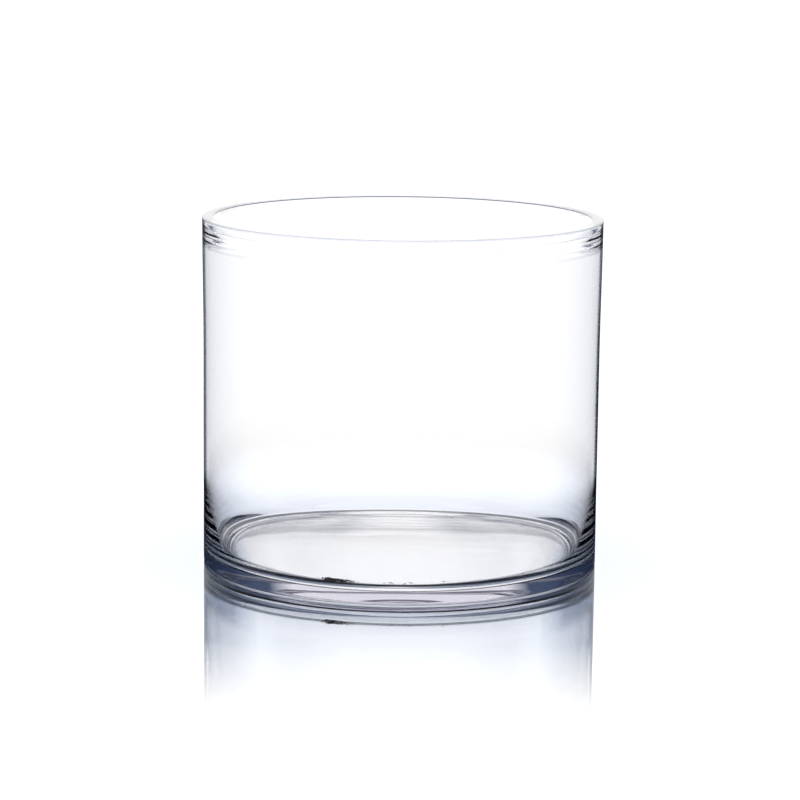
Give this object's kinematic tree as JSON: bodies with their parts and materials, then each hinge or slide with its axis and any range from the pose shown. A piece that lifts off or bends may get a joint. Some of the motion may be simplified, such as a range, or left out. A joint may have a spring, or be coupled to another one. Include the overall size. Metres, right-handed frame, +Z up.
{
  "type": "cylinder vase",
  "caption": "Straight-sided clear glass cylinder vase with a broad flat polished lip, a heavy rounded heel and a thick flat floor.",
  "frame": {"origin": "centre of the circle that the vase stands on, in the plane of the table", "axes": "+Z up along the vase's axis of symmetry; +X and +Y are alike, because the vase is round"},
  "size_m": [0.2032, 0.2032, 0.179],
  "materials": {
    "clear_glass": "clear soda-lime glass, fire-polished, faintly blue-grey where it is thick"
  },
  "bodies": {
    "root": {"glass_vase": "clear_glass"}
  },
  "joints": []
}
